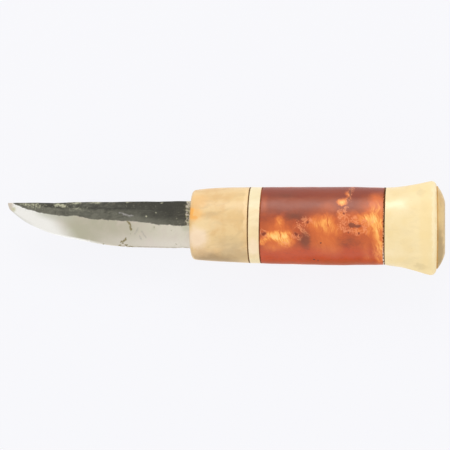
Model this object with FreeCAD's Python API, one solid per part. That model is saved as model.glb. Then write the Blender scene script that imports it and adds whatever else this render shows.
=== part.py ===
import FreeCAD, Part
import os
from math import pi, sin
from FreeCAD import Vector

# A fixed-blade Nordic belt knife (puukko) with a stick tang glued into a built-up handle.
#
# The knife lies on its side. +X runs along the handle to the butt, +Y to the spine of the blade,
# and +Z is square to the blade's flat sides. Each piece is modelled with its zero at the middle of
# the bolster's front face, and the finished knife is moved so that its origin is the middle of its
# footprint on the surface it lies on. Sizes are in millimetres.

# The handle's pieces from the front to the butt, and the length of each.
PIECE_LENGTHS = {
    "front_bolster": 24.55,
    "front_liner": 0.5,
    "pale_ring": 4.5,
    "grip_liner": 0.5,
    "burl_grip": 50.9,
    "bark_liner": 0.8,
    "pommel": 21.2,
    "butt_liner": 0.45,
    "butt_plate": 3.1,
}


def piece_start(name):
    """Where a handle piece begins, measured from the front of the handle."""
    names = list(PIECE_LENGTHS)
    return sum(PIECE_LENGTHS[n] for n in names[: names.index(name)])


def piece_end(name):
    return piece_start(name) + PIECE_LENGTHS[name]


GRIP_END = piece_end("bark_liner")
POMMEL_END = piece_end("pommel")

# The handle is oval all along. Each station is its distance from the front, its reach towards the
# spine and towards the edge, and half of its thickness.
HANDLE_STATIONS = [
    (0.0, 15.0, 14.0, 11.3),
    (6.0, 15.8, 14.7, 12.0),
    (16.0, 16.25, 15.25, 12.55),
    (30.0, 16.45, 15.8, 12.8),
    (46.0, 16.4, 16.25, 12.8),
    (64.0, 16.45, 16.45, 12.7),
    (GRIP_END, 16.1, 16.2, 12.4),
]
POMMEL_STATIONS = [
    (GRIP_END, 16.1, 16.35, 12.4),
    (87.0, 16.4, 17.2, 12.4),
    (93.0, 17.2, 18.45, 12.6),
    (98.0, 18.3, 20.0, 12.9),
    (POMMEL_END, 19.3, 20.55, 13.28),
]
BUTT_RIM = (16.7, 17.85, 10.6)
BUTT_FLAT = (10.9, 12.1, 4.6)
BOLSTER_ROUND = 1.6
POMMEL_ROUND = 2.5
BUTT_ROUND = 2.0

# The blade's outlines, as distance in front of the bolster and height towards the spine.
BLADE_LENGTH = 79.4
SPINE_OUTLINE = [(0.0, 10.55), (BLADE_LENGTH, 9.9)]
BEVEL_OUTLINE = [
    (0.0, 0.1), (10.0, 0.4), (20.0, 1.5), (30.0, 2.45), (45.0, 3.45),
    (62.0, 5.2), (70.0, 6.9), (73.6, 8.15), (76.2, 9.2), (BLADE_LENGTH, 9.7),
]
EDGE_OUTLINE = [
    (0.0, -9.35), (16.0, -9.25), (34.0, -8.35), (50.0, -5.75),
    (62.0, -2.7), (70.0, 0.75), (73.7, 2.95), (76.2, 4.9), (78.0, 6.5), (79.0, 7.8),
    (BLADE_LENGTH, 9.0),
]

# The blade's thickness at its shoulder, and how it thins to the tip. Its flats rise from the
# spine to a low ridge and fall again to the top of the bevel.
SPINE_THICKNESS = 2.9
RIDGE_THICKNESS = 3.8
BEVEL_THICKNESS = 3.4
EDGE_THICKNESS = 0.12
RIDGE_SHARE = 0.42
TIP_SHARE = 0.14
TAPER_POWER = 4
BLADE_STATIONS = 16

# The tang, the slot that it fits in the bolster, and the bored channel behind the slot.
TANG_LENGTH = 93.0
TANG_HEIGHTS = (7.4, 5.0)
TANG_THICKNESSES = (3.1, 2.6)
TANG_CENTRES = (2.9, 0.9)
SLOT_DEPTH = 8.0
SLOT_HEIGHT = 7.8
SLOT_WIDTH = 3.5
SLOT_CENTRE = 2.85
CHANNEL_HEIGHT = 11.5
CHANNEL_WIDTH = 6.5
CHANNEL_CENTRE = 1.0


def smooth(points):
    """A spline through points of (distance, height), with the distance as its parameter."""
    curve = Part.BSplineCurve()
    curve.interpolate(Points=[Vector(x, y, 0) for x, y in points], Parameters=[x for x, _ in points])
    return curve


def closed_solid(faces):
    shell = Part.makeShell(faces)
    shell.sewShape()
    return Part.makeSolid(shell)


def oval_body(stations):
    """A solid with an elliptical section everywhere and smooth curves between its stations."""
    centres = smooth([(x, (top - bottom) / 2) for x, top, bottom, _ in stations])
    heights = smooth([(x, (top + bottom) / 2) for x, top, bottom, _ in stations])
    widths = smooth([(x, side) for x, _, _, side in stations])
    circle = Part.Circle(Vector(0, 0, 0), Vector(-1, 0, 0), 1).toBSpline()
    along = zip(centres.getPoles(), heights.getPoles(), widths.getPoles())
    poles = [[Vector(c.x, c.y + h.y * p.y, w.y * p.z) for p in circle.getPoles()] for c, h, w in along]
    skin = Part.BSplineSurface()
    skin.buildFromPolesMultsKnots(
        poles,
        centres.getMultiplicities(),
        circle.getMultiplicities(),
        centres.getKnots(),
        circle.getKnots(),
        False,
        circle.isPeriodic(),
        centres.Degree,
        circle.Degree,
        [circle.getWeights() for _ in poles],
    )
    side = skin.toShape()
    ends = (stations[0][0], stations[-1][0])
    caps = [Part.Face(Part.Wire(plane_edges(side, x))) for x in ends]
    return closed_solid([side] + caps)


def plane_edges(shape, x):
    """The edges that lie in the plane square to the handle at x."""
    near = 0.01
    boxes = [(e, e.BoundBox) for e in shape.Edges]
    return [e for e, box in boxes if abs(box.XMin - x) < near and abs(box.XMax - x) < near]


def slab(x0, x1):
    """A block that takes in everything between two places along the handle."""
    reach = 30.0
    return Part.makeBox(x1 - x0, 2 * reach, 2 * reach, Vector(x0, -reach, -reach))


def round_ended_slot(x0, x1, height, width, centre):
    """The shape of a slot bored at both ends, running along the handle."""
    straight = height - width
    middle = Part.makeBox(x1 - x0, straight, width, Vector(x0, centre - straight / 2, -width / 2))
    ends = [
        Part.makeCylinder(width / 2, x1 - x0, Vector(x0, centre + y, 0), Vector(1, 0, 0))
        for y in (-straight / 2, straight / 2)
    ]
    return middle.multiFuse(ends).removeSplitter()


def blade_section(x):
    """The corners of the blade's section, down one side from the spine and up the other."""
    spine, bevel, edge = (
        smooth(outline).value(x).y for outline in (SPINE_OUTLINE, BEVEL_OUTLINE, EDGE_OUTLINE)
    )
    ridge = spine - (spine - bevel) * RIDGE_SHARE
    thin = 1 - (1 - TIP_SHARE) * (x / BLADE_LENGTH) ** TAPER_POWER
    corners = [
        (spine, SPINE_THICKNESS * thin),
        (ridge, RIDGE_THICKNESS * thin),
        (bevel, BEVEL_THICKNESS * thin),
        (edge, EDGE_THICKNESS),
    ]
    left = [Vector(-x, y, t / 2) for y, t in corners]
    right = [Vector(-x, y, -t / 2) for y, t in reversed(corners)]
    return left + right


def blade_body():
    """The blade in front of its shoulders, with ruled faces between lines drawn along it."""
    turns = [pi / 2 * i / BLADE_STATIONS for i in range(BLADE_STATIONS + 1)]
    stations = [BLADE_LENGTH * sin(turn) for turn in turns]
    sections = [blade_section(x) for x in stations]
    lines = []
    for corner_points in zip(*sections):
        line = Part.BSplineCurve()
        line.interpolate(Points=list(corner_points), Parameters=stations)
        lines.append(line.toShape())
    sides = [Part.makeRuledSurface(a, b) for a, b in zip(lines, lines[1:] + lines[:1])]
    caps = [Part.Face(Part.makePolygon(s + s[:1])) for s in (sections[0], sections[-1])]
    return closed_solid(sides + caps)


def tang():
    """A flat bar that tapers in height and thickness to its end in the pommel."""
    ends = []
    places = (0, TANG_LENGTH)
    for x, height, thickness, centre in zip(places, TANG_HEIGHTS, TANG_THICKNESSES, TANG_CENTRES):
        corners = [
            Vector(x, centre + up * height / 2, across * thickness / 2)
            for up, across in ((-1, -1), (1, -1), (1, 1), (-1, 1))
        ]
        ends.append(Part.makePolygon(corners + corners[:1]))
    return Part.makeLoft(ends, True, True)


def tang_channel():
    """The close square slot in the front of the bolster and the bored channel behind it."""
    corner = Vector(0, SLOT_CENTRE - SLOT_HEIGHT / 2, -SLOT_WIDTH / 2)
    front = Part.makeBox(SLOT_DEPTH, SLOT_HEIGHT, SLOT_WIDTH, corner)
    rear = round_ended_slot(SLOT_DEPTH, POMMEL_END, CHANNEL_HEIGHT, CHANNEL_WIDTH, CHANNEL_CENTRE)
    return front.fuse(rear)


def front_pieces():
    """The pieces from bolster to bark liner, cut from one smooth body so that they are flush."""
    body = oval_body(HANDLE_STATIONS)
    names = [name for name in PIECE_LENGTHS if piece_start(name) < GRIP_END - 0.1]
    pieces = {name: body.common(slab(piece_start(name), piece_end(name))) for name in names}
    bolster = pieces["front_bolster"]
    pieces["front_bolster"] = bolster.makeFillet(BOLSTER_ROUND, plane_edges(bolster, 0))
    return pieces


def pommel():
    """The flared pommel, with its rear edge rounded over to a lip."""
    body = oval_body(POMMEL_STATIONS)
    return body.makeFillet(POMMEL_ROUND, plane_edges(body, POMMEL_END))


def butt_pieces():
    """The bevelled plate that closes the channel, and the liner under it."""
    liner_end = piece_end("butt_liner")
    plate_end = piece_end("butt_plate")
    plate = oval_body([(liner_end, *BUTT_RIM), (plate_end, *BUTT_FLAT)])
    return {
        "butt_liner": oval_body([(POMMEL_END, *BUTT_RIM), (liner_end, *BUTT_RIM)]),
        "butt_plate": plate.makeFillet(BUTT_ROUND, plane_edges(plate, plate_end)),
    }


def build():
    channel = tang_channel()
    bored = dict(front_pieces(), pommel=pommel())
    pieces = {name: solid.cut(channel) for name, solid in bored.items()}
    pieces.update(butt_pieces())
    pieces["blade"] = blade_body().fuse(tang())
    pieces["tang_adhesive"] = channel.cut(tang())
    return pieces


def rest_offset(pieces):
    """The move that sets the knife on z = 0 with the middle of its footprint at the origin."""
    box = Part.makeCompound(list(pieces.values())).optimalBoundingBox(False)
    return Vector(-box.Center.x, -box.Center.y, -box.ZMin)


def main():
    os.makedirs("parts", exist_ok=True)
    pieces = build()
    offset = rest_offset(pieces)
    for name, solid in pieces.items():
        solid.translate(offset)
        solid.exportStep("parts/" + name + ".step")
        print(name, "valid" if solid.isValid() else "BROKEN", round(solid.Volume, 1), "mm3")


main()
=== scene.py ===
from functools import partial, reduce
from math import cos, pi, radians, sin

import bpy
import numpy as np
from mathutils import Matrix, Vector, noise


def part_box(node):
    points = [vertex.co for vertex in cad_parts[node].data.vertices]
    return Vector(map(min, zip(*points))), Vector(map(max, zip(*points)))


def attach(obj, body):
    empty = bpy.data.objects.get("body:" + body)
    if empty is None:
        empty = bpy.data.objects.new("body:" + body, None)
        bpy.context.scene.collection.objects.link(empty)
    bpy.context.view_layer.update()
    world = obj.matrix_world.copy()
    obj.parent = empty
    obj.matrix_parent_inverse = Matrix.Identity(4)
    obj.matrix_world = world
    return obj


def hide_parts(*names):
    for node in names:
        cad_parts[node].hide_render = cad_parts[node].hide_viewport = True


# Looks for a Nordic belt knife: forged blade, antler fittings and a dyed burl grip.
#
# Shapes are worked out in millimetres in the knife's own directions: x from the bolster's front
# face towards the butt, y towards the spine of the blade, and z square to the blade's flat sides,
# with zero on the handle's axis. to_frame() puts them where the CAD model has them.

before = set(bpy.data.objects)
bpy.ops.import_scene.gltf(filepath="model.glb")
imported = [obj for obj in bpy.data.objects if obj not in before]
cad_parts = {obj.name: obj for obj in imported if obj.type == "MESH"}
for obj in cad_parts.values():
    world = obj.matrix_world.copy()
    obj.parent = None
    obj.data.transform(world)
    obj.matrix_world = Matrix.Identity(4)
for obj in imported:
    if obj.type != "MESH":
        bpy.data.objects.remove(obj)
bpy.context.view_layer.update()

MM = 0.001

# The blade, as in the CAD model: distances in front of the bolster, and heights.
BLADE_LENGTH = 79.4
SPINE_AT_HANDLE = 10.55
SPINE_OUTLINE = [(0.0, SPINE_AT_HANDLE), (BLADE_LENGTH, 9.9)]
BEVEL_OUTLINE = [
    (0.0, 0.1), (10.0, 0.4), (20.0, 1.5), (30.0, 2.45), (45.0, 3.45),
    (62.0, 5.2), (70.0, 6.9), (73.6, 8.15), (76.2, 9.2), (BLADE_LENGTH, 9.7),
]
EDGE_OUTLINE = [
    (0.0, -9.35), (16.0, -9.25), (34.0, -8.35), (50.0, -5.75),
    (62.0, -2.7), (70.0, 0.75), (73.7, 2.95), (76.2, 4.9), (78.0, 6.5), (79.0, 7.8),
    (BLADE_LENGTH, 9.0),
]
SPINE_THICKNESS = 2.9
RIDGE_THICKNESS = 3.8
BEVEL_THICKNESS = 3.4
EDGE_THICKNESS = 0.12
RIDGE_SHARE = 0.42
TIP_SHARE = 0.14
TAPER_POWER = 4

# Where the spine, the bevel's top and the edge stray from their outlines, with nicks in the edge:
# distance in front of the bolster, height and half of the width.
SPINE_STRAYS = [(59.5, -0.24, 5.0)]
BEVEL_STRAYS = [
    (49.5, 0.5, 2.4), (41.5, -0.5, 2.6), (35.0, -0.3, 4.5), (29.3, -0.3, 3.0), (17.6, 0.15, 1.3),
    (14.2, -0.22, 1.5), (7.2, -0.28, 1.6),
]
NICKS = [(26.4, 0.16, 0.3), (28.6, 0.24, 0.35), (37.6, 0.2, 0.25), (44.2, 0.28, 0.3), (50.5, 0.12, 0.2)]

# Each line's waviness along the blade: the width of its waves, their height and a seed.
SPINE_WAVES = (6.0, 0.12, 31)
BEVEL_WAVES = (3.5, 0.22, 32)
EDGE_WAVES = (5.0, 0.12, 33)

# Relief on the blade, with the dents and pits on its flats and the waves from grinding on its bevel.
# It fades from flats to bevel over FLAT_FADE, and to nothing where a side is within THIN_HALF of z = 0.
HAMMER_DENTS = [(5.0, 0.09, 21), (1.3, 0.05, 22)]
PIT_PATTERN = (0.9, 1.0, 23)
PIT_DEPTH = 0.07
PIT_FROM = 0.25
PIT_SLOPE = 0.3
GRINDING_WAVES = (9.0, 0.05, 24)
FLAT_FADE = 0.6
THIN_HALF = 0.3

# Waves on the handle from shaping it by hand: the width of the bumps and their depth.
HAND_WAVES = (11.0, 0.12)
POMMEL_WAVES = (9.0, 0.16)
TOOL_MARKS = (1.4, 0.02)

# The tang, from its shoulder to its end.
TANG_LENGTH = 93.0
TANG_HEIGHTS = (7.4, 5.0)
TANG_THICKNESSES = (3.1, 2.6)
TANG_CENTRES = (2.9, 0.9)
# How far below the bevel's top the tang counts as lying, so that it keeps its forge scale.
TANG_GROUND = -6.0

# What the tang runs through: a flat-sided slot, and a bored channel behind it. Each hole is its
# height, its width, the height of its middle, and whether its ends are round. The slot stops just
# short of the channel's top, so that their outlines don't touch.
SLOT_DEPTH = 8.0
SLOT = (7.78, 3.5, 2.84, False)
CHANNEL = (11.5, 6.5, 1.0, True)

BOLSTER_ROUND = 1.6
POMMEL_ROUND = 2.5
PLATE_ROUND = 1.2
PLATE_BULGE = 0.35
JOINT_ROUND = 0.12

# The handle was fitted by hand, so its joints lean: how far the spine side of each joint sits
# towards the butt, for each mm of height.
JOINT_LEANS = [(0.0, 0.0), (24.8, 0.010), (30.1, 0.023), (81.3, 0.015), (95.0, 0.0)]
# How far the bolster's front face tips, over what height, and how soon that fades along x.
FRONT_LEAN = 0.25
FRONT_LEAN_HEIGHT = 8.0
FRONT_LEAN_FADE = 6.0
# How far the middle of the butt bulges at each x, and the half height where that ends.
BUTT_DOMES = [(98.0, 0.0), (102.9, 0.35), (103.5, 0.35), (105.5, 0.0)]
BUTT_HALF_HEIGHT = 17.0

# How near to a joint and to a piece's end the CAD is measured, and how wide the plate's bevel is.
JOINT_MARGIN = 0.05
END_MARGIN = 0.1
PLATE_BEVEL = 2.2
# How deep the cut face of the butt looks porous.
CUT_DEPTH = 0.35

# How fine the meshes are.
AROUND = 288
ROUNDING_STEPS = 6
RING_SPACING = 0.3
DISC_SPACING = 0.25
FACE_SHARES = (0.35, 0.8)
LINER_FACE_SHARES = (0.5,)
PLATE_FACE_SHARES = (0.9, 0.75, 0.55, 0.3, 0.05)
WAVE_OCTAVES = 2
SEED_STEPS = (17.3, 5.7, 11.1)
BLADE_RINGS = 420
BLADE_SIDE_STEPS = (14, 18, 30)
SPINE_POINTS = 5
TANG_RINGS = 30

# Where the camera stands and aims, in the knife's directions.
CAMERA_PLACE = (111.0, 0.0, 850.0)
CAMERA_AIM = (14.0, 0.42, 0.0)
CAMERA_LENS = 161.9
SENSOR_WIDTH = 36.0

# The studio, in metres and watts.
FLOOR_REACH = 6.0
FLOOR_HEIGHT = -0.00005
FLOOR_COLOUR = (0.08, 0.08, 0.08)
FLOOR_GLOW = (0.965, 0.965, 1.0)
FLOOR_GLOW_STRENGTH = 0.885
SKY_COLOUR = (1.0, 0.995, 0.985, 1)
SKY_STRENGTH = 0.84
LIGHT_AIM = (0.02, 0, 0.013)
KEY_LIGHT = {"place": (0.05, 0.95, 0.75), "size": (0.7, 0.5), "power": 4.5, "gloss": 1.0}
FILL_LIGHT = {"place": (0.1, -0.9, 0.35), "size": (1.4, 0.6), "power": 2.0, "gloss": 0.0}

blade_low, blade_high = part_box("blade")
ORIGIN = np.array([
    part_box("front_bolster")[0].x,
    blade_high.y - SPINE_AT_HANDLE * MM,
    (blade_low.z + blade_high.z) / 2,
])


def to_frame(points):
    return np.asarray(points, float) * MM + ORIGIN


def span(node):
    """Where a CAD piece begins and ends along the handle, in mm from the bolster's front."""
    low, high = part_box(node)
    return (low.x - ORIGIN[0]) / MM, (high.x - ORIGIN[0]) / MM


def smooth_step(value):
    value = np.clip(value, 0, 1)
    return value * value * (3 - 2 * value)


def add_object(name, data):
    added = bpy.data.objects.new(name, data)
    bpy.context.scene.collection.objects.link(added)
    return added


# --- meshes


def make_object(name, points, faces, attributes=None):
    mesh = bpy.data.meshes.new(name)
    mesh.from_pydata(to_frame(points).tolist(), [], faces)
    mesh.validate()
    mesh.update()
    mesh.shade_smooth()
    for key, values in (attributes or {}).items():
        layer = mesh.attributes.new(key, "FLOAT", "POINT")
        layer.data.foreach_set("value", np.asarray(values, np.float32))
    return add_object(name, mesh)


def skin_faces(rows, around, closed):
    """Quads between rings of points. A closed skin joins its last ring to its first."""
    i, j = np.meshgrid(np.arange(rows if closed else rows - 1), np.arange(around), indexing="ij")
    after = (i + 1) % rows
    beside = (j + 1) % around
    corners = [(i, j), (i, beside), (after, beside), (after, j)]
    return np.stack([row * around + column for row, column in corners], -1).reshape(-1, 4).tolist()


def ring_skin(name, rings, closed, attributes=None):
    """A shell through rings of points. Where it isn't closed, each end gets a flat cap."""
    rows, around = rings.shape[:2]
    faces = skin_faces(rows, around, closed)
    if not closed:
        faces.append(list(reversed(range(around))))
        faces.append(list(range((rows - 1) * around, rows * around)))
    return make_object(name, rings.reshape(-1, 3), faces, attributes)


def waves(points, size, depth, seed):
    """A smooth random height at each point: size is the width of its bumps, in mm."""
    shift = Vector([seed * step for step in SEED_STEPS])
    total = np.zeros(len(points))
    for octave in range(WAVE_OCTAVES):
        scale = 2.0**octave / size
        share = depth / 2.0**octave
        total += [share * noise.noise(Vector(p) * scale + shift * (octave + 1)) for p in points]
    return total


# --- handle


def cad_reach(node, x):
    """How far a CAD piece reaches at x: towards the spine, towards the edge and sideways, in mm."""
    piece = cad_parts[node]
    at, far = ORIGIN[0] + x * MM, 1.0
    hits = []
    for side in (1, -1):
        hit = piece.ray_cast(Vector((at, side * far, ORIGIN[2])), Vector((0, -side, 0)))
        hits.append(hit[1].y)
    top, bottom = ((y - ORIGIN[1]) / MM for y in hits)
    middle = ORIGIN[1] + (top + bottom) / 2 * MM
    hit = piece.ray_cast(Vector((at, middle, far)), Vector((0, 0, -1)))
    return top, -bottom, (hit[1].z - ORIGIN[2]) / MM


def fitted_reach(nodes, start, stop, degree, samples=60):
    """The three reaches as smooth curves along the handle, fitted to the CAD pieces."""
    xs, reaches = [], []
    for x in np.linspace(start, stop, samples):
        for node in nodes:
            low, high = span(node)
            if low + JOINT_MARGIN < x < high - JOINT_MARGIN:
                xs.append(x)
                reaches.append(cad_reach(node, x))
    return [np.polynomial.Polynomial.fit(xs, column, degree) for column in zip(*reaches)]


def oval(x, reach, inset):
    """Points round the handle at x, set in from its full outline by inset."""
    top, bottom, side = (curve(x) for curve in reach)
    angle = np.arange(AROUND) * 2 * pi / AROUND
    y = (top - bottom) / 2 + ((top + bottom) / 2 - inset) * np.cos(angle)
    z = (side - inset) * np.sin(angle)
    return np.stack([np.full(AROUND, x), y, z], -1)


def hole(x, outline, height, width, centre, round_ends):
    """Points round a hole, each in the same direction from its middle as its outline point."""
    direction = np.arctan2(outline[:, 2], outline[:, 1] - centre)
    across = np.maximum(np.abs(np.sin(direction)), 1e-9)
    along = np.maximum(np.abs(np.cos(direction)), 1e-9)
    flat = width / 2 / across
    if round_ends:
        straight = height / 2 - width / 2
        end = straight * along + np.sqrt(np.maximum((width / 2) ** 2 - (straight * across) ** 2, 0))
        reach = np.where(flat * along <= straight, flat, end)
    else:
        reach = np.minimum(flat, height / 2 / along)
    y = centre + reach * np.cos(direction)
    z = reach * np.sin(direction)
    return np.stack([np.full(len(outline), x), y, z], -1)


def arc_steps(radius):
    """A quarter round: how far in and how far along each step is, from the outline to the face."""
    turns = [pi / 2 * i / ROUNDING_STEPS for i in range(ROUNDING_STEPS + 1)]
    return [(radius * (1 - cos(turn)), radius * (1 - sin(turn))) for turn in turns]


def outside_profile(start, stop, front_round, rear_round, spacing):
    """(x, inset) from the front face's rim, along the outside, to the rear face's rim."""
    front = [(start + along, inset) for inset, along in arc_steps(front_round)][::-1]
    rear = [(stop - along, inset) for inset, along in arc_steps(rear_round)]
    count = max(3, int((stop - start) / spacing))
    between = np.linspace(start + front_round, stop - rear_round, count)
    return front + [(x, 0.0) for x in between[1:-1]] + rear


def bored_rings(reach, start, stop, holes, front_round=JOINT_ROUND, rear_round=JOINT_ROUND):
    """Rings over a handle piece's outside and through its hole, and which of them are outside."""
    profile = outside_profile(start, stop, front_round, rear_round, RING_SPACING)
    outside = [oval(x, reach, inset) for x, inset in profile]
    first, last = outside[0], outside[-1]
    inside = []
    for x0, x1, size in reversed(holes):
        for x in (x1, x0):
            inside.append(hole(x, last if x > (start + stop) / 2 else first, *size))
    front_face = [inside[-1] * (1 - share) + first * share for share in FACE_SHARES]
    rear_face = [inside[0] * (1 - share) + last * share for share in reversed(FACE_SHARES)]
    rings = np.array(front_face + outside + rear_face + inside)
    shown = np.zeros(len(rings), bool)
    shown[len(front_face) : len(front_face) + len(outside)] = True
    return rings, shown


def roughen(rings, shown, *layers):
    """Moves the rings that show in and out by layers of waves."""
    flat = rings[shown].reshape(-1, 3)
    away = flat * (0, 1, 1)
    away /= np.linalg.norm(away, axis=1)[:, None]
    height = sum(waves(flat, *layer) for layer in layers)
    rings[shown] = (flat + away * height[:, None]).reshape(-1, *rings.shape[1:])
    return rings


def lean(points):
    """Leans the joints, tips the bolster's front face and bulges the butt, as on the real knife."""
    x, y = points[..., 0], points[..., 1]
    slope = np.interp(x, *zip(*JOINT_LEANS))
    nearness = smooth_step(1 - np.abs(x) / FRONT_LEAN_FADE)
    front = FRONT_LEAN * smooth_step(y / FRONT_LEAN_HEIGHT) * nearness
    butt = np.interp(x, *zip(*BUTT_DOMES)) * (1 - (y / BUTT_HALF_HEIGHT) ** 2)
    moved = points.copy()
    moved[..., 0] += slope * y + front + butt
    return moved


# --- shaders


# A Mix node's sockets for its factor and its two colours, and for the colour that it gives.
MIX_INPUTS = (0, 6, 7)
MIX_OUTPUT = 2


class Shader:
    """Builds one node material whose textures are laid out in the knife's own millimetres."""

    def __init__(self, name):
        self.material = bpy.data.materials.new(name)
        self.material.use_nodes = True
        self.tree = self.material.node_tree
        self.surface = self.tree.nodes["Principled BSDF"]
        coordinates = self.node("TexCoord").outputs["Object"]
        moved = self.vector("SUBTRACT", coordinates, tuple(ORIGIN))
        self.place = self.sized(moved, 1 / MM)

    def node(self, kind, **settings):
        made = self.tree.nodes.new("ShaderNode" + kind)
        for key, value in settings.items():
            setattr(made, key, value)
        return made

    def put(self, socket, value):
        """Links a socket to another, or sets it to a number, a colour or a place."""
        if isinstance(value, bpy.types.NodeSocket):
            self.tree.links.new(value, socket)
        elif isinstance(value, tuple) and len(value) == 3 and socket.type == "RGBA":
            socket.default_value = (*value, 1)
        else:
            socket.default_value = value

    def fill(self, node, **inputs):
        """Puts values into named sockets, with _ for a space, and gives the node's first output."""
        for name, value in inputs.items():
            self.put(node.inputs[name.replace("_", " ")], value)
        return node.outputs[0]

    def set(self, **inputs):
        """Sets the surface's own sockets: base_color, roughness and so on."""
        for key, value in inputs.items():
            self.put(self.surface.inputs[key.replace("_", " ").title().replace("Ior", "IOR")], value)

    def math(self, operation, a, b=0.0, c=0.0, clamp=False):
        made = self.node("Math", operation=operation, use_clamp=clamp)
        for socket, value in zip(made.inputs, (a, b, c)):
            self.put(socket, value)
        return made.outputs[0]

    def vector(self, operation, a, b=(0.0, 0.0, 0.0)):
        made = self.node("VectorMath", operation=operation)
        self.put(made.inputs[0], a)
        self.put(made.inputs[1], b)
        return made.outputs["Value" if operation in ("LENGTH", "DISTANCE", "DOT_PRODUCT") else 0]

    def sized(self, a, scale):
        """A vector made longer or shorter."""
        return self.fill(self.node("VectorMath", operation="SCALE"), Vector=a, Scale=scale)

    def total(self, *values):
        return reduce(partial(self.math, "ADD"), values)

    def times(self, *values):
        return reduce(partial(self.math, "MULTIPLY"), values)

    def most(self, *values):
        return reduce(partial(self.math, "MAXIMUM"), values)

    def rest(self, value):
        return self.math("SUBTRACT", 1.0, value)

    def spread(self, value, amount):
        """A value from 0 to 1, moved to lie evenly about 0 with the given full width."""
        return self.math("MULTIPLY_ADD", value, amount, -amount / 2)

    def drawn_out(self, scale, turn=0.0, where=None):
        """Coordinates scaled, then turned about z, so that a texture on them comes out long."""
        made = self.node("Mapping", vector_type="TEXTURE")
        return self.fill(made, Vector=where or self.place, Rotation=(0.0, 0.0, radians(turn)), Scale=scale)

    def noise_node(self, size, detail, rough, twist, where, seed):
        made = self.node("TexNoise", noise_dimensions="4D")
        self.fill(made, Vector=where or self.place, W=seed, Scale=1.0 / size)
        self.fill(made, Detail=detail, Roughness=rough, Distortion=twist)
        return made

    def noise(self, size, detail=2.0, rough=0.5, twist=0.0, where=None, seed=0.0):
        """Noise from 0 to 1, with bumps about size millimetres wide."""
        return self.noise_node(size, detail, rough, twist, where, seed).outputs["Fac"]

    def warped(self, size, amount, where=None, seed=0.0):
        """Coordinates pushed about by up to half of amount, in swirls about size wide."""
        pushes = self.noise_node(size, 2.0, 0.5, 0.0, where, seed).outputs["Color"]
        centred = self.vector("SUBTRACT", pushes, (0.5, 0.5, 0.5))
        return self.vector("ADD", where or self.place, self.sized(centred, amount))

    def between(self, value, low, high):
        """0 at low and before it, and 1 at high and past it, with a smooth step between them."""
        made = self.node("MapRange", interpolation_type="SMOOTHSTEP")
        return self.fill(made, Value=value, From_Min=low, From_Max=high)

    def level(self, value, low, high):
        """A value from 0 to 1, changed to run between two numbers."""
        return self.math("MULTIPLY_ADD", value, high - low, low)

    def mix(self, amount, a, b):
        """Colour a where amount is 0, and colour b where it is 1."""
        made = self.node("Mix", data_type="RGBA", clamp_factor=True)
        for socket, value in zip(MIX_INPUTS, (amount, a, b)):
            self.put(made.inputs[socket], value)
        return made.outputs[MIX_OUTPUT]

    def tint(self, colour, overlays):
        """A colour with overlays laid over it in turn: stains, figure, and painted light and shade. Each is
        its strengths, multiplied, and a colour.
        """
        for *strengths, overlay in overlays:
            colour = self.mix(self.times(*strengths), colour, overlay)
        return colour

    def axis(self, letter, where=None):
        made = self.node("SeparateXYZ")
        self.put(made.inputs[0], where or self.place)
        return made.outputs["XYZ".index(letter)]

    def flat(self, where=None):
        """Coordinates with no z, for a figure drawn on one side of the knife."""
        return self.vector("MULTIPLY", where or self.place, (1.0, 1.0, 0.0))

    def spot(self, centre, radii, where):
        """1 in the middle of an oval on flat coordinates, and 0 at its rim."""
        moved = self.vector("SUBTRACT", where, (*centre, 0.0))
        share = self.vector("LENGTH", self.vector("DIVIDE", moved, (*radii, 1.0)))
        return self.math("SUBTRACT", 1.0, share, clamp=True)

    def stroke(self, start, stop, width, where):
        """1 along the middle of a line on flat coordinates, and 0 at width from it."""
        run = Vector((stop[0] - start[0], stop[1] - start[1], 0))
        moved = self.vector("SUBTRACT", where, (*start, 0.0))
        along = self.vector("DOT_PRODUCT", moved, tuple(run / run.length_squared))
        foot = self.sized(tuple(run), self.math("ADD", along, 0.0, clamp=True))
        gap = self.vector("DISTANCE", moved, foot)
        return self.math("SUBTRACT", 1.0, self.math("DIVIDE", gap, width), clamp=True)

    def blots(self, ovals, where):
        """Ovals added up. Each is the x and y of its centre, its two radii and its strength."""
        spots = [(self.spot((x, y), (a, b), where), strength) for x, y, a, b, strength in ovals]
        return self.total(*[self.times(*spot) for spot in spots])

    def strokes(self, lines, width, where):
        """How near each place is to the nearest of the lines. Each line is its two ends."""
        return self.most(*[self.stroke(start, stop, width, where) for start, stop in lines])

    def attribute(self, name):
        return self.node("Attribute", attribute_name=name).outputs["Fac"]

    def bump(self, *layers):
        """Small relief: each layer is a height from 0 to 1 and its depth in millimetres."""
        normal = None
        for height, depth in layers:
            made = self.node("Bump")
            if normal is not None:
                self.put(made.inputs["Normal"], normal)
            normal = self.fill(made, Height=height, Distance=depth * MM)
        self.set(normal=normal)


def toned(colour, amount):
    """A colour made lighter or darker."""
    return tuple(min(1.0, channel * amount) for channel in colour)


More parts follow.
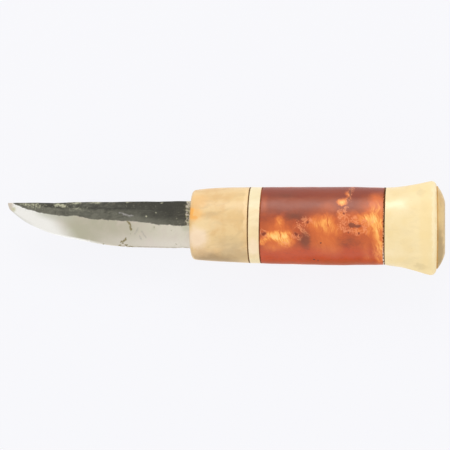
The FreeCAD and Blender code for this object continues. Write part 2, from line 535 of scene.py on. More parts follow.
def antler(name, pale, warm, dull, seed, marks=(), mottling=0.5, gloss=0.5, rubbed=None, core=None):
    """Polished antler: creamy and cloudy, with faint streaks along it and scattered pores.

    The marks on the side that faces up are stains, painted highlights and painted shade; each is
    its colour, x and y, two radii and strength. The polish grows dull between the two x of rubbed.
    Past core, the antler is cut across its grain, which is browner and full of pores.
    """
    s = Shader(name)
    clouds = s.noise(7.0, 3, 0.55, 0.4, seed=seed)
    streaks = s.noise(1.3, 4, 0.6, 0.3, s.drawn_out((7.0, 1.0, 1.0)), seed + 1)
    specks = s.noise(0.45, 2, 0.5, seed=seed + 2)
    pores = s.between(s.noise(0.4, 1, 0.5, 0, s.drawn_out((2.5, 1.0, 1.0)), seed + 3), 0.70, 0.78)
    soft = s.between(s.noise(3.0, 3, 0.5, 1.0, s.drawn_out((2.2, 1.0, 1.0), 6), seed + 8), 0.5, 0.7)
    dark = toned(dull, 0.5)
    colour = s.tint(s.mix(s.between(clouds, 0.34, 0.56), warm, pale), [
        (s.between(clouds, 0.55, 0.75), toned(pale, 1.05)),
        (soft, mottling, dull),
        (s.between(streaks, 0.5, 0.72), mottling, 0.4, dull),
        (s.between(specks, 0.58, 0.7), 0.15, warm),
        (pores, 0.3, dark),
    ])
    if core:
        cut = s.between(s.axis("X"), core, core + 0.3)
        open_pores = s.between(s.noise(0.7, 2, 0.6, seed=seed + 9), 0.52, 0.64)
        colour = s.tint(colour, [(cut, 0.55, toned(dull, 0.85)), (cut, open_pores, 0.4, dark)])
    # On the side the marks reach down to the handle's middle, but not on its front face.
    along = s.math("MINIMUM", s.times(s.axis("X"), 4.0), 7.0)
    facing = s.between(s.total(s.axis("Z"), along), 6.5, 10.5)
    where = s.flat(s.warped(0.8, 1.0, s.warped(2.6, 3.0, seed=seed + 6), seed + 7))
    for overlay, x, y, wide, high, strength in marks:
        mark = s.between(s.spot((x, y), (wide, high), where), 0.0, 0.6)
        colour = s.tint(colour, [(mark, facing, strength, overlay)])
    polish = s.noise(2.2, 4, 0.6, seed=seed + 4)
    roughness = s.level(polish, 0.24, 0.4)
    if rubbed:
        roughness = s.total(roughness, s.times(s.between(s.axis("X"), *rubbed), 0.3))
    # The polish is worn along the edge side of the handle, where it rubs in its sheath.
    shine = s.level(s.between(s.axis("Y"), -11.0, -15.0), gloss, gloss * 0.4)
    s.set(base_color=colour, roughness=roughness, specular_ior_level=shine)
    scratches = s.noise(0.5, 3, 0.6, 0.1, s.drawn_out((16.0, 1.0, 1.0), 14), seed + 5)
    s.bump((scratches, 0.01), (specks, 0.008), (s.rest(pores), 0.03))
    return s.material


def fibre(name, dark, light, seed):
    """A thin liner of dyed fibre board: dull, with fine fibres in its plane and uneven dye."""
    s = Shader(name)
    fibres = s.noise(0.3, 3, 0.6, 0.5, s.drawn_out((1.0, 3.0, 3.0)), seed)
    dye = s.total(s.times(fibres, 0.5), s.times(s.noise(4.0, 2, 0.5, seed=seed + 1), 0.5))
    colour = s.mix(s.between(dye, 0.38, 0.62), dark, light)
    s.set(base_color=colour, roughness=s.level(fibres, 0.85, 0.65), specular_ior_level=0.2)
    s.bump((fibres, 0.03))
    return s.material


def resin():
    """The glue round the tang: cloudy brown epoxy."""
    s = Shader("cured_epoxy")
    clouds = s.noise(1.5, 4, 0.6, 0.5)
    colour = s.mix(s.between(clouds, 0.35, 0.65), (0.36, 0.24, 0.09), (0.55, 0.42, 0.2))
    s.set(base_color=colour, roughness=s.level(clouds, 0.25, 0.45))
    s.bump((clouds, 0.05))
    return s.material


# The burl's figure on the side that faces up, in mm. Ovals are x and y, two radii and strength.
FLAMES = [
    (35.8, -4.3, 5.8, 2.9, 1.9), (40.2, -4.5, 4.8, 3.6, 1.6), (31.2, -6.4, 2.2, 1.6, 1.4),
    (41.0, -7.2, 4.2, 2.0, 1.0), (38.2, 1.3, 2.6, 3.8, 0.8), (35.0, -9.0, 6.0, 3.0, 0.4),
    (53.6, 1.2, 4.4, 4.4, 0.9), (58.0, 0.7, 4.0, 5.3, 1.3), (57.0, -6.6, 8.5, 6.4, 0.3),
    (64.0, 9.9, 2.8, 2.0, 1.8), (66.3, 12.6, 1.5, 2.8, 0.9), (64.0, 4.8, 2.6, 3.0, 0.6),
    (73.8, 2.9, 5.6, 3.0, 1.5), (78.2, 4.4, 4.6, 7.6, 1.2), (77.6, -1.0, 5.0, 5.0, 0.9),
    (80.4, -8.4, 4.4, 11.2, 1.2), (62.4, -1.5, 3.0, 3.6, 0.6), (75.0, -13.0, 3.8, 2.6, 0.3),
    (71.4, -2.2, 4.4, 1.8, 0.7),
]
GLOWS = [
    (37.0, -2.4, 11.0, 8.0, 0.9), (39.0, -7.4, 10.0, 4.6, 0.7), (56.5, -2.0, 11.0, 12.0, 0.75),
    (76.5, 2.0, 10.0, 13.0, 1.0), (51.0, 0.5, 4.0, 3.6, 0.2), (66.5, 3.0, 6.0, 5.0, 0.6),
    (61.0, -9.5, 6.0, 5.0, 0.4), (73.6, -9.6, 3.0, 4.0, 0.6), (79.0, 10.9, 5.0, 4.2, 0.6),
    (60.0, 13.2, 13.0, 2.6, 0.12), (59.0, 8.4, 7.0, 4.6, 0.33), (31.6, 9.0, 2.4, 6.0, 0.4),
]
SHADES = [
    (44.6, 3.9, 7.5, 2.8, 1.1), (48.9, -5.8, 3.4, 5.8, 1.2), (67.4, -6.0, 8.5, 4.8, 0.6),
    (67.9, 0.4, 1.7, 1.3, 1.9), (70.0, 0.2, 3.2, 1.1, 1.5), (32.0, 3.0, 4.0, 3.4, 0.4),
    (71.5, 6.4, 6.0, 3.0, 0.4), (67.2, 13.6, 0.8, 3.0, 1.4), (66.4, 11.3, 0.8, 1.4, 1.1),
    (40.0, 12.8, 10.0, 2.8, 0.7),
]
# Each eye is its centre and how wide it is. Round the eyes the grain runs in fine pale curls.
EYES = [
    ((31.6, -3.4), 2.4), ((45.2, -3.5), 1.3), ((46.7, -3.9), 1.1), ((49.9, 1.5), 1.2), ((64.8, 5.2), 1.0),
    ((71.2, -3.3), 1.0), ((67.0, -2.6), 0.9),
]
CURLED = [
    (46.6, -1.2, 4.2, 4.4, 0.5), (66.0, 2.4, 5.6, 4.6, 0.5), (31.4, -3.3, 2.2, 3.2, 1.0),
    (73.2, -1.4, 3.2, 3.2, 0.8), (66.6, 11.4, 1.8, 2.8, 0.8), (40.0, -7.0, 4.0, 3.0, 0.6),
]
GRAIN_LINES = [
    ((45.5, 1.2), (49.8, -3.8)), ((48.2, 3.4), (49.4, 0.4)), ((50.6, 2.6), (52.0, 1.2)),
    ((43.6, -4.0), (46.6, -4.9)), ((62.8, 6.2), (63.6, 2.0)), ((63.6, 2.0), (66.4, 1.3)),
    ((66.4, 1.3), (69.6, 3.1)), ((66.6, -0.8), (70.4, -3.2)), ((70.9, -3.0), (74.4, 0.3)),
    ((68.6, 1.6), (74.0, 2.0)), ((66.6, 11.6), (67.8, 15.4)), ((68.8, -1.2), (70.6, -1.4)),
    ((64.6, 4.2), (65.8, 7.2)), ((63.0, -0.2), (65.6, -1.8)), ((74.4, 0.3), (76.4, 1.6)),
]
PITS = [(55.3, -7.0, 0.5, 0.4, 1.0), (52.2, -14.0, 0.6, 0.35, 1.0), (53.8, -14.3, 0.4, 0.3, 1.0)]


def burl_eyes(s, drawn, fine, facing, away):
    """How near each place is to the middle of an eye: the drawn ones, and more round the back."""
    cell_size = 8.5
    distance = s.fill(s.node("TexVoronoi"), Vector=fine, Scale=1 / cell_size)
    gap = s.times(distance, cell_size)
    near = s.most(*[s.spot(centre, (width, width * 0.85), drawn) for centre, width in EYES])
    return s.most(s.times(near, facing), s.times(s.between(gap, 1.3, 0.0), away))


def burl():
    """Curly burl wood, dyed red and polished: gold flames, dark eyes, pale curls and fine pores."""
    s = Shader("dyed_burl")
    swirled = s.warped(5.0, 3.2, seed=3.0)
    fine = s.warped(1.1, 0.9, swirled, seed=4.0)
    facing = s.between(s.axis("Z"), -1.0, 3.0)
    away = s.rest(facing)
    # The drawn figure is only pushed about a little, so that it stays where it belongs.
    drawn = s.flat(s.warped(0.9, 1.0, s.warped(3.0, 2.2, seed=5.0), seed=6.0))
    y = s.axis("Y", swirled)

    clouds = s.noise(8.0, 3, 0.55, 0.6, swirled, 7.0)
    grain = s.noise(0.5, 4, 0.62, 0.8, s.drawn_out((4.0, 1.0, 1.0), -8, fine), 8.0)
    colour = s.mix(s.between(clouds, 0.34, 0.66), (0.33, 0.055, 0.018), (0.53, 0.095, 0.02))
    # The dye is redder below. The brown at the low rim is painted shade, and the colour darkens towards the
    # spine.
    colour = s.tint(colour, [
        (s.between(y, -6.5, -11.0), 0.8, (0.56, 0.062, 0.004)),
        (s.between(y, -13.4, -16.4), 0.8, (0.38, 0.072, 0.006)),
        (s.between(y, 3.0, 6.5), 0.85, (0.285, 0.062, 0.026)),
        (s.between(y, 10.8, 12.6), 0.8, (0.235, 0.036, 0.014)),
        (s.between(grain, 0.48, 0.70), 0.3, (0.20, 0.03, 0.012)),
    ])

    wild = s.noise(9.0, 2, 0.5, 0.4, swirled, 9.0)
    blazing = s.times(s.between(wild, 0.44, 0.76), away)
    flame = s.total(s.times(s.blots(FLAMES, drawn), facing), s.times(blazing, 1.6))
    bent = s.warped(1.6, 1.0, s.warped(6.5, 6.0, seed=13.0), seed=14.0)
    tongues = s.noise(1.5, 2, 0.5, 0.3, s.drawn_out((1.0, 4.2, 4.2), 14, bent), 15.0)
    hairs = s.noise(0.62, 2, 0.5, 0.3, s.drawn_out((1.0, 6.0, 6.0), 14, bent), 16.0)
    tufts = s.level(s.between(tongues, 0.34, 0.64), 0.55, 1.1)
    wisps = s.total(tufts, s.spread(s.between(hairs, 0.3, 0.7), 0.75))
    lit = s.times(flame, s.most(wisps, 0.15))
    embers = s.times(s.between(wild, 0.3, 0.6), away)
    glow = s.total(s.times(s.blots(GLOWS, drawn), facing), embers, s.times(flame, 0.8))
    glowing = s.times(s.between(glow, -0.05, 0.9), s.level(tongues, 0.7, 1.3))
    colour = s.tint(colour, [
        (glowing, (0.66, 0.14, 0.026)),
        (s.between(lit, 0.0, 1.0), (0.84, 0.25, 0.048)),
        (s.between(lit, 0.45, 1.45), (0.98, 0.44, 0.10)),
        (s.between(lit, 1.1, 2.1), (1.0, 0.60, 0.19)),
    ])

    ridges = s.math("ABSOLUTE", s.spread(s.noise(3.6, 1, 0.5, 1.0, bent, 14.0), 1.0))
    curled = s.between(s.blots(CURLED, drawn), 0.05, 0.5)
    where_curled = s.total(s.times(curled, facing), s.times(blazing, 0.5))
    threads = s.times(s.between(ridges, 0.055, 0.01), where_curled)
    curls = s.math("ABSOLUTE", s.spread(s.noise(2.3, 1, 0.5, 1.2, bent, 17.0), 1.0))
    near_line = s.strokes(GRAIN_LINES, 1.4, drawn)
    curled_line = s.times(s.between(near_line, 0.05, 0.5), s.between(curls, 0.08, 0.015))
    line = s.times(s.between(near_line, 0.62, 0.9), s.between(grain, 0.62, 0.42), 0.6)
    lines = s.times(s.most(curled_line, line), facing)
    shade = s.total(s.times(s.blots(SHADES, drawn), facing), s.spread(grain, 0.5))
    eye = burl_eyes(s, drawn, fine, facing, away)
    rings = s.math("SINE", s.times(eye, 13.0))
    colour = s.tint(colour, [
        (s.most(threads, lines), 0.65, (0.89, 0.31, 0.13)),
        (s.between(shade, 0.1, 1.0), 0.8, (0.19, 0.05, 0.024)),
        (s.between(eye, 0.02, 0.3), s.between(rings, 0.2, 0.9), 0.6, (0.80, 0.26, 0.12)),
        (s.between(eye, 0.35, 0.8), (0.25, 0.040, 0.010)),
    ])

    pits = s.between(s.blots(PITS, s.flat(s.warped(0.5, 0.4))), 0.1, 0.5)
    pores = s.between(s.noise(0.32, 1, 0.5, 0, fine, 11.0), 0.72, 0.8)
    holes = s.most(s.times(pores, 0.5), s.times(pits, facing))
    colour = s.mix(holes, colour, (0.08, 0.02, 0.012))
    gloss = s.noise(3.0, 4, 0.6, seed=12.0)
    shine = s.level(s.between(y, -12.0, -15.0), 0.45, 0.15)
    s.set(base_color=colour, roughness=s.level(gloss, 0.28, 0.44), specular_ior_level=shine)
    s.bump((grain, 0.012), (gloss, 0.02), (s.rest(holes), 0.04))
    return s.material


def bark():
    """A washer of dark birch bark with pale flecks, and chips along its grip side."""
    s = Shader("birch_bark")
    grip_side = span("bark_liner")[0]
    chips = s.spread(s.noise(0.8, 3, 0.7, seed=2.0), 1.5)
    chipped = s.between(s.total(s.axis("X"), chips), grip_side + 0.34, grip_side + 0.12)
    flecks = s.between(s.noise(0.5, 2, 0.5, seed=5.0), 0.44, 0.54)
    low = s.between(s.axis("Y"), -7.0, -13.0)
    pale = s.mix(low, (0.86, 0.42, 0.22), (0.92, 0.78, 0.66))
    grain = s.between(s.noise(0.7, 3, 0.6, seed=6.0), 0.4, 0.65)
    dark = s.mix(grain, (0.045, 0.011, 0.002), (0.20, 0.060, 0.012))
    colour = s.mix(s.times(chipped, flecks), dark, pale)
    s.set(base_color=colour, roughness=s.level(chips, 0.7, 0.85), specular_ior_level=0.15)
    s.bump((s.noise(0.3, 3, 0.6, seed=7.0), 0.05))
    return s.material


# Marks on the blade, in mm: places where the forge scale has worn through, and rust and scratches.
WORN = [
    (-57.4, 8.9, 2.8, 1.2, 0.8), (-54.8, 8.3, 2.4, 1.2, 0.7), (-49.6, 9.8, 5.0, 0.9, 0.75),
    (-67.0, 8.6, 6.0, 1.4, 0.4), (-41.0, 10.1, 5.0, 0.8, 0.75), (-20.0, 10.5, 2.5, 0.5, 0.6),
    (-72.0, 9.4, 4.0, 0.8, 0.45), (-49.0, 7.4, 6.0, 1.4, 0.35), (-35.0, 10.3, 3.0, 0.6, 0.7),
    (-12.6, 10.0, 1.2, 0.6, 0.7), (-27.2, 10.3, 3.0, 0.6, 0.8),
]
SCRATCHES = [((-30.8, 5.7), (-26.0, 4.0)), ((-29.2, 4.7), (-25.2, 4.4))]
FLECKS = [(-15.2, 5.7, 0.4, 0.26, 0.8), (-19.4, 4.1, 0.36, 0.36, 0.8)]
RUST_LINES = [
    ((-27.4, 1.7), (-26.6, 1.1)), ((-26.6, 1.1), (-26.3, 0.0)), ((-26.3, 0.0), (-26.0, -1.7)),
    ((-28.3, -5.2), (-29.4, -6.5)), ((-29.4, -6.5), (-30.5, -6.8)),
]
RUST_SPOTS = [
    (-28.7, -5.8, 1.1, 0.7, 1.0), (-29.8, -7.3, 1.0, 0.5, 0.9), (-28.2, -8.1, 1.1, 0.5, 1.0),
    (-26.4, -8.7, 1.6, 0.4, 0.9), (-31.0, -8.2, 1.2, 0.4, 0.8), (-16.1, -0.6, 0.7, 0.4, 0.6),
    (-9.0, -1.8, 0.8, 0.5, 0.5), (-6.8, -7.6, 0.7, 0.5, 0.5), (-38.0, -8.0, 0.6, 0.8, 1.2),
    (-44.8, -7.1, 0.5, 0.6, 0.9), (-26.2, -3.4, 0.4, 0.4, 0.6),
]
SCUFFS = [((-24.3, -3.2), (-22.9, -0.8)), ((-21.6, -2.0), (-19.6, -5.0)), ((-22.4, -4.2), (-21.6, -5.8))]


def forge_scale(s, x, facing, ground, marked, patches, fine):
    """The dark skin on the blade's flats, worn to bare metal in places and rusty at the spine."""
    clouds = s.noise(6.0, 4, 0.6, 0.5, seed=7.0)
    towards_tip = s.between(x, -30.0, -70.0)
    level = s.attribute("level")
    # The scale is lighter towards the tip, and above the ridge in the middle of the blade. Below the ridge
    # and above the bevel at the handle's end it is lighter as painted light on the lower facet, and along
    # the ridge there is a painted highlight.
    lifts = [
        (towards_tip, 0.13),
        (s.between(level, 0.95, 1.15), s.between(x, -4.0, -34.0), 0.4),
        (s.between(level, 0.92, 1.0), s.between(level, 1.08, 1.0), s.between(x, -6.0, -20.0), 0.2),
        (s.between(level, 1.3, 1.8), s.between(x, -36.0, -22.0), 0.38),
        (s.between(level, 0.95, 0.6), s.between(x, -24.0, -32.0), s.between(x, -56.0, -46.0), 0.2),
    ]
    lift = s.total(*[s.times(*lighter) for lighter in lifts])
    smears = s.noise(1.1, 4, 0.7, 0.6, s.drawn_out((2.0, 1.0, 1.0), 8), 10.0)
    smeared = s.times(s.spread(smears, 1.3), s.level(s.between(x, -20.0, -40.0), 0.35, 1.0))
    tone = s.total(lift, s.spread(clouds, 0.8), smeared)
    crumbs = s.noise(0.38, 3, 0.7, 0.3, seed=8.0)
    worn_where = s.flat(s.warped(1.4, 2.4, seed=9.0))
    on_side = s.between(level, 0.0, 0.07)
    on_spine = s.times(s.between(clouds, 0.5, 0.7), s.rest(on_side), 0.12)
    wear = s.times(s.blots(WORN, worn_where), on_side, s.level(facing, 0.2, 0.34))
    worn = s.total(wear, on_spine, s.times(towards_tip, 0.05), crumbs)
    flecked = s.times(s.between(s.blots(FLECKS, marked), 0.1, 0.5), facing)
    bare = s.most(s.between(worn, 0.655, 0.685), flecked)
    scratched = s.times(s.between(s.strokes(SCRATCHES, 0.5, marked), 0.2, 0.8), s.between(fine, 0.35, 0.6))
    browned = s.between(s.noise(1.4, 4, 0.6, seed=4.0), 0.56, 0.7)
    colour = s.mix(s.between(tone, -0.1, 0.8), (0.042, 0.040, 0.030), (0.16, 0.157, 0.121))
    colour = s.tint(colour, [
        (bare, 0.85, (0.54, 0.53, 0.37)),
        (scratched, facing, 0.8, (0.46, 0.44, 0.43)),
        (browned, s.between(ground, -5.5, -7.3), s.between(x, -20.0, -28.0), 0.5, (0.19, 0.13, 0.07)),
    ])
    # The shoulder was filed clean before the bolster was fitted.
    filed = s.between(s.total(x, s.spread(patches, 5.0)), -2.7, -2.1)
    dark_flecks = s.between(s.total(s.noise(0.75, 3, 0.7, seed=5.0), s.times(x, 0.05)), 0.36, 0.46)
    bright = s.mix(s.between(fine, 0.45, 0.6), (0.62, 0.56, 0.52), (0.50, 0.50, 0.24))
    return s.mix(filed, colour, s.mix(dark_flecks, (0.10, 0.095, 0.055), bright))


def honed_bevel(s, x, facing, marked, fine, grind):
    """Bright steel, yellower in the middle of the blade, and nearly white at the tip from a painted
    reflection.
    """
    clouds = s.noise(6.0, 4, 0.6, 0.5, seed=1.0)
    level = s.attribute("level")
    dull = s.spot((-45.0, -1.5), (12.0, 9.0), s.flat(s.warped(4.0, 4.0, seed=11.0)))
    slanted = s.total(x, s.times(s.axis("Y"), 0.63), s.spread(clouds, 3.0))
    speckle = s.between(fine, 0.3, 0.6)
    rust = s.most(s.blots(RUST_SPOTS, marked), s.times(s.strokes(RUST_LINES, 0.8, marked), 0.75))
    rust = s.between(s.total(rust, s.spread(fine, 1.6)), 0.25, 0.6)
    colour = s.mix(s.between(x, -34.0, -6.0), (0.575, 0.535, 0.42), (0.78, 0.73, 0.615))
    return s.tint(colour, [
        # Pink and green clouds, a dull patch in the middle, and a lighter low part by the handle.
        (s.between(clouds, 0.45, 0.7), 0.6, (0.71, 0.62, 0.54)),
        (s.between(clouds, 0.47, 0.27), 0.6, (0.56, 0.56, 0.41)),
        (s.between(dull, 0.0, 0.7), 0.6, (0.52, 0.50, 0.375)),
        (s.between(level, 2.35, 2.9), s.between(x, -46.0, -30.0), 0.4, (0.90, 0.84, 0.78)),
        # The end of the blade, made nearly white by a painted reflection, with a greener shade under the
        # scale.
        (s.between(slanted, -51.0, -61.5), (1.0, 0.985, 0.94)),
        (
            s.between(level, 2.45, 2.05), s.between(x, -70.0, -62.0), s.between(x, -48.0, -54.0), 0.65,
            (0.60, 0.60, 0.49),
        ),
        # The honed edge: white towards the tip, with a dark burr near the handle, and a grey line of painted
        # shade at the point.
        (s.between(level, 2.9, 2.95), s.between(x, -34.0, -50.0), (1.0, 0.99, 0.95)),
        (s.between(level, 2.93, 2.98), s.between(x, -34.0, -28.0), speckle, 0.7, (0.30, 0.25, 0.19)),
        (s.between(level, 2.72, 2.95), s.between(x, -66.0, -73.0), 0.5, (0.72, 0.71, 0.66)),
        # The point's tarnish, then grinding lines, scuffs and rust.
        (s.between(x, -76.4, -78.2), 0.8, (0.66, 0.57, 0.46)),
        (s.spot((-76.9, 7.2), (1.3, 1.3), marked), facing, 0.9, (0.60, 0.58, 0.34)),
        (s.between(grind, 0.5, 0.75), 0.1, (0.4, 0.38, 0.33)),
        (s.between(s.strokes(SCUFFS, 0.6, marked), 0.1, 0.8), facing, speckle, 0.4, (0.33, 0.32, 0.29)),
        (rust, facing, 0.85, s.mix(fine, (0.08, 0.05, 0.015), (0.36, 0.30, 0.10))),
    ])


def steel():
    """Forged steel: dark scale on the flats, and a ground and honed bevel with a frayed top."""
    s = Shader("forged_steel")
    ground = s.attribute("ground")
    x = s.axis("X")
    # The drawn marks are on the side that faces up.
    facing = s.between(s.axis("Z"), -0.04, 0.04)
    marked = s.flat(s.warped(0.7, 1.1))
    patches = s.noise(0.8, 5, 0.7, 0.4, seed=2.0)
    fine = s.noise(0.35, 3, 0.6, seed=3.0)
    grind = s.noise(0.22, 3, 0.6, 0.2, s.drawn_out((14.0, 1.0, 1.0), 62), 6.0)
    scale = forge_scale(s, x, facing, ground, marked, patches, fine)
    bevel = honed_bevel(s, x, facing, marked, fine, grind)
    # The last of the point is bright right up to the spine.
    point = s.between(x, -76.6, -77.8)
    fray = s.total(ground, point, s.spread(patches, 1.4), s.spread(fine, 1.4))
    bright = s.between(fray, -0.1, 0.1)
    s.set(
        base_color=s.mix(bright, scale, bevel),
        roughness=s.total(s.times(s.rest(bright), 0.2), s.level(patches, 0.28, 0.42)),
        metallic=s.level(bright, 0.35, 1.0),
    )
    s.bump((patches, 0.03), (fine, 0.015), (grind, 0.004))
    return s.material


# --- pieces


def finish_piece(piece, node, material):
    """Gives a piece its material, attaches it to the root body, and hides the CAD node it stands for."""
    piece.data.materials.append(material)
    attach(piece, "root")
    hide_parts(node)
    return piece


def bolster_antler():
    marks = [
        ((0.86, 0.50, 0.19), 3.5, 10.5, 6.5, 4.0, 0.5),
        ((0.95, 0.52, 0.16), 2.6, 4.6, 5.0, 4.0, 0.6),
        ((0.92, 0.42, 0.07), 0.9, 5.6, 2.0, 3.0, 0.9),
        ((0.88, 0.40, 0.08), 2.6, 3.4, 2.6, 1.1, 0.7),
        ((0.90, 0.70, 0.40), 8.0, 0.5, 8.0, 4.5, 0.5),
        # A pinkish-white patch low at the front: a painted reflection.
        ((0.96, 0.77, 0.59), 3.6, -5.0, 6.0, 6.0, 0.65),
        ((0.60, 0.43, 0.26), 5.0, -12.4, 8.0, 4.4, 0.4),
        ((0.60, 0.44, 0.23), 17.0, -7.0, 8.0, 4.5, 0.45),
        ((0.48, 0.34, 0.17), 19.0, -13.0, 10.0, 5.5, 0.6),
        # Darker along the bottom edge: the antler's own grey-brown, deepened by painted shade.
        ((0.36, 0.23, 0.10), 9.0, -16.0, 15.0, 6.0, 0.85),
        ((0.80, 0.57, 0.27), 20.0, 8.0, 6.0, 10.0, 0.4),
        # A light band beside the joint to the ring: a painted highlight.
        ((0.95, 0.68, 0.36), 23.9, 6.0, 1.1, 13.0, 0.5),
    ]
    pale, warm, dull = (0.80, 0.57, 0.28), (0.74, 0.48, 0.21), (0.60, 0.42, 0.21)
    return antler("antler_bolster", pale, warm, dull, 1.0, marks)


def pommel_antler():
    marks = [
        ((0.84, 0.64, 0.31), 87.5, 15.8, 7.0, 5.0, 0.6),
        ((0.66, 0.50, 0.24), 96.7, 14.0, 2.6, 2.4, 0.35),
        ((0.72, 0.57, 0.30), 98.0, 8.7, 2.0, 3.4, 0.3),
        ((0.62, 0.49, 0.25), 96.6, -17.0, 4.0, 1.8, 0.4),
        # A pale line along the rounded lip: a painted highlight.
        ((1.0, 0.85, 0.55), 102.0, 2.0, 1.2, 26.0, 0.5),
        ((0.90, 0.68, 0.31), 98.6, 0.0, 3.6, 24.0, 0.5),
        ((0.74, 0.60, 0.33), 91.2, -15.0, 3.4, 1.6, 0.25),
    ]
    pale, warm, dull = (0.90, 0.72, 0.39), (0.88, 0.685, 0.34), (0.80, 0.63, 0.34)
    return antler("antler_pommel", pale, warm, dull, 7.0, marks, 0.35, 1.0, (88.0, 94.0))


def handle_pieces():
    """The pieces from bolster to bark liner, as one smooth oval that each is a length of."""
    ring_marks = [
        ((0.79, 0.71, 0.46), 27.2, 13.0, 4.0, 7.0, 0.5),
        # Lighter and pinkish low on the ring: painted light.
        ((0.97, 0.75, 0.56), 27.0, -8.5, 3.0, 4.5, 0.45),
        # Darker along the bottom edge: painted shade.
        ((0.74, 0.62, 0.36), 27.2, -15.5, 4.0, 3.0, 0.5),
    ]
    ring = antler("antler_ring", (0.92, 0.76, 0.47), (0.88, 0.69, 0.40), (0.79, 0.62, 0.36), 3.0, ring_marks)
    front_fibre = fibre("fibre_front", (0.10, 0.036, 0.008), (0.20, 0.09, 0.025), 2.0)
    grip_fibre = fibre("fibre_grip", (0.13, 0.035, 0.008), (0.38, 0.10, 0.04), 4.0)
    looks = {
        "front_bolster": ("antler", bolster_antler()),
        "front_liner": ("brown_fibre", front_fibre),
        "pale_ring": ("antler", ring),
        "grip_liner": ("brown_fibre", grip_fibre),
        "burl_grip": ("dyed_burl", burl()),
        "bark_liner": ("birch_bark", bark()),
    }
    body = fitted_reach(list(looks), BOLSTER_ROUND + 2 * END_MARGIN, span("bark_liner")[1], degree=6)
    for number, (node, (slot, material)) in enumerate(looks.items(), 1):
        start, stop = span(node)
        holes = [(start, stop, CHANNEL)]
        front_round = JOINT_ROUND
        if node == "front_bolster":
            holes = [(start, SLOT_DEPTH, SLOT), (SLOT_DEPTH, stop, CHANNEL)]
            front_round = BOLSTER_ROUND
        rings, shown = bored_rings(body, start, stop, holes, front_round)
        rings = roughen(rings, shown, (*HAND_WAVES, number), (*TOOL_MARKS, number + 1))
        finish_piece(ring_skin("looks_" + node, lean(rings), True), node, material)


def pommel_piece():
    start, stop = span("pommel")
    flare = fitted_reach(["pommel"], start + END_MARGIN, stop - POMMEL_ROUND - END_MARGIN, degree=4)
    rings, shown = bored_rings(flare, start, stop, [(start, stop, CHANNEL)], rear_round=POMMEL_ROUND)
    rings = roughen(rings, shown, (*POMMEL_WAVES, 9), (*TOOL_MARKS, 8))
    return finish_piece(ring_skin("looks_pommel", lean(rings), True), "pommel", pommel_antler())


def disc(name, node, reach, rear_round, face_shares, bulge=0.0):
    """A solid end piece, with rings across its rear face so that the face can take relief."""
    start, stop = span(node)
    profile = outside_profile(start, stop, JOINT_ROUND / 2, rear_round, DISC_SPACING)
    rings = []
    for x, inset in profile:
        share = (x - start) / (stop - start)
        rings.append(oval(x, reach, inset - bulge * 4 * share * (1 - share)))
    middle = rings[-1].mean(axis=0)
    rings += [middle + (rings[-1] - middle) * share for share in face_shares]
    return ring_skin(name, lean(np.array(rings)), False)


def butt_pieces():
    start, stop = span("butt_liner")
    rim = fitted_reach(["butt_liner"], start + END_MARGIN, stop - END_MARGIN, degree=0, samples=5)
    liner = disc("looks_butt_liner", "butt_liner", rim, JOINT_ROUND / 2, LINER_FACE_SHARES)
    butt_fibre = fibre("fibre_butt", (0.50, 0.26, 0.07), (0.66, 0.38, 0.13), 6.0)
    finish_piece(liner, "butt_liner", butt_fibre)

    start, stop = span("butt_plate")
    bevel = fitted_reach(["butt_plate"], start + END_MARGIN, start + PLATE_BEVEL, degree=1, samples=12)
    plate = disc("looks_butt_plate", "butt_plate", bevel, PLATE_ROUND, PLATE_FACE_SHARES, PLATE_BULGE)
    # The lower part of the plate's bevel is darkened: painted shade.
    marks = [((0.43, 0.28, 0.09), 104.2, -11.0, 2.5, 14.0, 1.0)]
    pale, warm, dull = (0.74, 0.51, 0.19), (0.66, 0.42, 0.14), (0.55, 0.37, 0.13)
    look = antler("antler_butt", pale, warm, dull, 9.0, marks, core=stop - CUT_DEPTH)
    finish_piece(plate, "butt_plate", look)


def smooth_line(outline):
    """A cubic spline through the outline's points, with no bend at its ends."""
    xs, ys = (np.array(column, float) for column in zip(*outline))
    steps = np.diff(xs)
    size = len(xs)
    matrix, right = np.zeros((size, size)), np.zeros(size)
    matrix[0, 0] = matrix[-1, -1] = 1
    for i in range(1, size - 1):
        matrix[i, i - 1 : i + 2] = steps[i - 1], 2 * (steps[i - 1] + steps[i]), steps[i]
        right[i] = 3 * ((ys[i + 1] - ys[i]) / steps[i] - (ys[i] - ys[i - 1]) / steps[i - 1])
    bend = np.linalg.solve(matrix, right)

    def value(x):
        i = np.clip(np.searchsorted(xs, x) - 1, 0, size - 2)
        t = x - xs[i]
        slope = (ys[i + 1] - ys[i]) / steps[i] - steps[i] * (2 * bend[i] + bend[i + 1]) / 3
        return ys[i] + slope * t + bend[i] * t**2 + (bend[i + 1] - bend[i]) / (3 * steps[i]) * t**3

    return value


def blade_side(x, lines, counts):
    """Points down one side of the blade at x, how far below the bevel's top each is, and its level.

    The level counts the corners passed: 0 at the spine, 1 on the ridge, 2 at the bevel, 3 at the edge.
    """
    spine, bevel, edge = (float(line(x)) for line in lines)
    ridge = spine - (spine - bevel) * RIDGE_SHARE
    thin = 1 - (1 - TIP_SHARE) * (x / BLADE_LENGTH) ** TAPER_POWER
    halves = [thin * t / 2 for t in (SPINE_THICKNESS, RIDGE_THICKNESS, BEVEL_THICKNESS)]
    places = [np.linspace(i, i + 1, n, endpoint=False) for i, n in enumerate(counts)]
    places = np.concatenate(places + [[len(counts)]])
    corners = range(len(counts) + 1)
    y = np.interp(places, corners, [spine, ridge, bevel, edge])
    z = np.interp(places, corners, halves + [EDGE_THICKNESS / 2])
    return np.stack([np.full(len(y), -x), y, z], -1), bevel - y, places


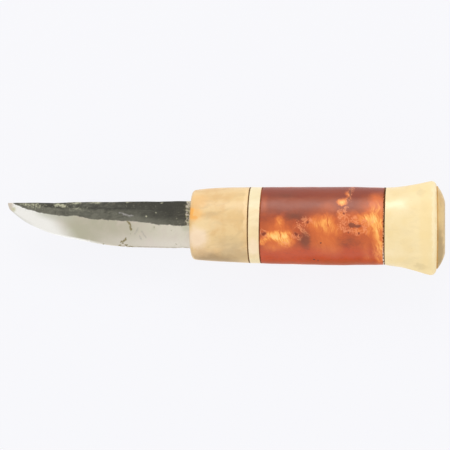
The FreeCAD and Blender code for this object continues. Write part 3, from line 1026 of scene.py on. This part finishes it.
def hammered(points, ground):
    """Dents and scale pits on the blade's flats, and faint waves from grinding on its bevel."""
    flats = smooth_step(-ground / FLAT_FADE)
    dents = sum(waves(points, *layer) for layer in HAMMER_DENTS)
    pits = -PIT_DEPTH * smooth_step((waves(points, *PIT_PATTERN) - PIT_FROM) / PIT_SLOPE)
    height = flats * (dents + pits) + (1 - flats) * waves(points, *GRINDING_WAVES)
    away = np.sign(points[:, 2]) * np.minimum(1, np.abs(points[:, 2]) / THIN_HALF)
    return points + np.outer(height * away, (0, 0, 1))


def blade_piece():
    """Blade and tang as one skin, from the tip to the end of the tang."""

    def wavy(outline, strays, size, depth, seed):
        line = smooth_line(outline)

        def value(x):
            stray = sum(height * np.exp(-(((x - at) / half) ** 2)) for at, height, half in strays)
            return line(x) + stray + waves([(x, 0, 0)], size, depth, seed)[0]

        return value

    lines = (
        wavy(SPINE_OUTLINE, SPINE_STRAYS, *SPINE_WAVES),
        wavy(BEVEL_OUTLINE, BEVEL_STRAYS, *BEVEL_WAVES),
        wavy(EDGE_OUTLINE, NICKS, *EDGE_WAVES),
    )
    stations = BLADE_LENGTH * np.sin(np.linspace(pi / 2, 0, BLADE_RINGS))
    rings, ground, level = [], [], []
    for x in stations:
        side, below, places = blade_side(x, lines, BLADE_SIDE_STEPS)
        other = (side * (1, 1, -1))[::-1]
        across = np.linspace(-1, 1, SPINE_POINTS + 2)[1:-1] * side[0, 2]
        back = np.stack([np.full(SPINE_POINTS, -x), np.full(SPINE_POINTS, side[0, 1]), across], -1)
        rings.append(np.concatenate([side, other, back]))
        ground.append(np.concatenate([below, below[::-1], np.full(SPINE_POINTS, below[0])]))
        level.append(np.concatenate([places, places[::-1], np.zeros(SPINE_POINTS)]))
    rings, ground, level = np.array(rings), np.array(ground), np.array(level)
    rings = hammered(rings.reshape(-1, 3), ground.reshape(-1)).reshape(rings.shape)

    shoulder = rings[-1]
    tang = []
    for share in np.linspace(0, 1, TANG_RINGS):
        sizes = (TANG_HEIGHTS, TANG_THICKNESSES, TANG_CENTRES)
        height, thickness, centre = (a + (b - a) * share for a, b in sizes)
        tang.append(hole(share * TANG_LENGTH, shoulder, height, thickness, centre, False))
    rings = np.concatenate([lean(rings), np.array(tang)])
    on_tang = np.full((len(tang), ground.shape[1]), TANG_GROUND)
    attributes = {
        "ground": np.concatenate([ground, on_tang]).reshape(-1),
        "level": np.concatenate([level, on_tang * 0]).reshape(-1),
    }
    skin = ring_skin("looks_blade", rings, False, attributes)
    return finish_piece(skin, "blade", steel())


# --- stage


def place_camera():
    camera = add_object("camera", bpy.data.cameras.new("camera"))
    place, aim = Vector(to_frame(CAMERA_PLACE)), Vector(to_frame(CAMERA_AIM))
    back = (place - aim).normalized()
    right = Vector((0, 1, 0)).cross(back).normalized()
    up = back.cross(right)
    camera.matrix_world = Matrix.Translation(place) @ Matrix((right, up, back)).transposed().to_4x4()
    camera.data.lens = CAMERA_LENS
    camera.data.sensor_width = SENSOR_WIDTH
    bpy.context.scene.camera = camera


def area_light(name, place, size, power, gloss):
    data = bpy.data.lights.new(name, "AREA")
    data.shape = "RECTANGLE"
    data.size, data.size_y = size
    data.energy = power
    data.specular_factor = gloss
    lamp = add_object(name, data)
    direction = Vector(LIGHT_AIM) - Vector(place)
    turned = direction.to_track_quat("-Z", "Y").to_matrix().to_4x4()
    lamp.matrix_world = Matrix.Translation(place) @ turned


def lightbox():
    """A pale glowing floor, an even sky and two soft lights, as on a photographer's light table."""
    mesh = bpy.data.meshes.new("floor")
    sides = [(-1, -1), (1, -1), (1, 1), (-1, 1)]
    corners = [(x * FLOOR_REACH, y * FLOOR_REACH, FLOOR_HEIGHT) for x, y in sides]
    mesh.from_pydata(corners, [], [(0, 1, 2, 3)])
    floor = add_object("floor", mesh)
    s = Shader("floor")
    s.set(base_color=FLOOR_COLOUR, roughness=1.0, specular_ior_level=0.0)
    s.set(emission_color=FLOOR_GLOW, emission_strength=FLOOR_GLOW_STRENGTH)
    mesh.materials.append(s.material)

    world = bpy.data.worlds.new("studio")
    world.use_nodes = True
    sky = world.node_tree.nodes["Background"].inputs
    sky["Color"].default_value = SKY_COLOUR
    sky["Strength"].default_value = SKY_STRENGTH
    bpy.context.scene.world = world
    area_light("key", **KEY_LIGHT)
    area_light("fill", **FILL_LIGHT)

    view = bpy.context.scene.view_settings
    view.view_transform = "Standard"
    view.look = "None"
    view.exposure = 0.0
    view.gamma = 1.0


place_camera()
lightbox()
handle_pieces()
pommel_piece()
butt_pieces()
blade_piece()
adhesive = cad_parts["tang_adhesive"].data.materials
adhesive.clear()
adhesive.append(resin())
